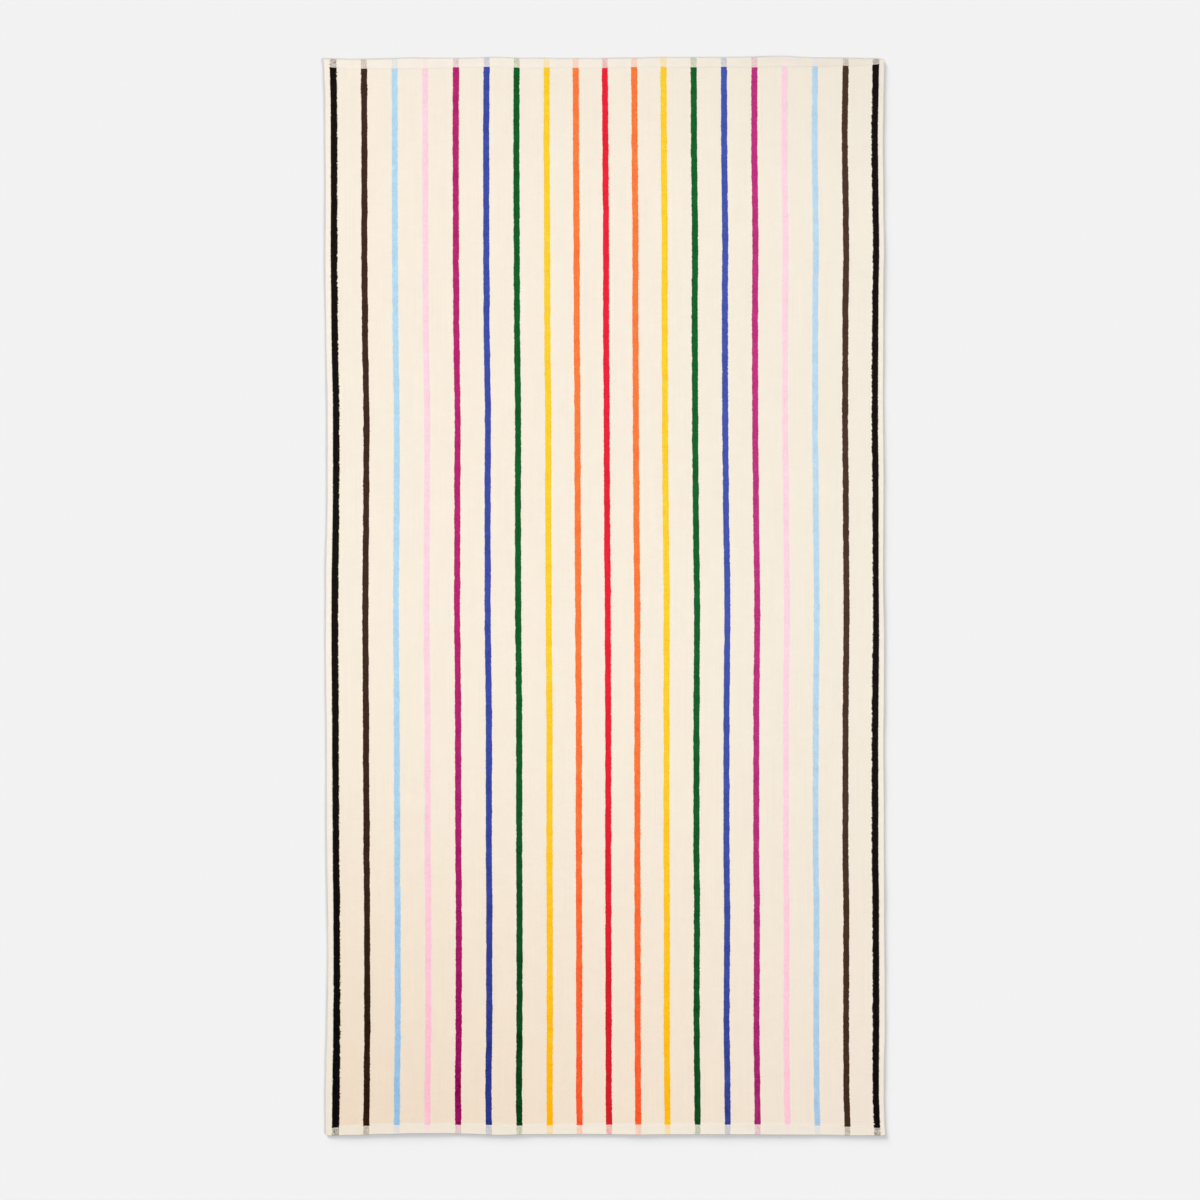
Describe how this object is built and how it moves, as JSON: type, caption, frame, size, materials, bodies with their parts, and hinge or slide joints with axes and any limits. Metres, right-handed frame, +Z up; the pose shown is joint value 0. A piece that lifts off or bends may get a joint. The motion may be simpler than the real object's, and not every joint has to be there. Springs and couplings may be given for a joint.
{
  "type": "beach towel",
  "caption": "Long flat beach towel of striped terry cloth, with a sheared face, a looped back and turned, stitched hems.",
  "frame": {"origin": "on the surface that the towel lies on, under the middle of its outline", "axes": "+Y along the towel's length, +X across it, +Z up out of the sheared face"},
  "size_m": [0.9158, 1.7569, 0.0038],
  "materials": {
    "terry_cloth": "matte cut cotton pile in cream with thin warp stripes in many colours, loops on the back, plain weave in the hems"
  },
  "bodies": {
    "root": {"towel": "terry_cloth"}
  },
  "joints": []
}
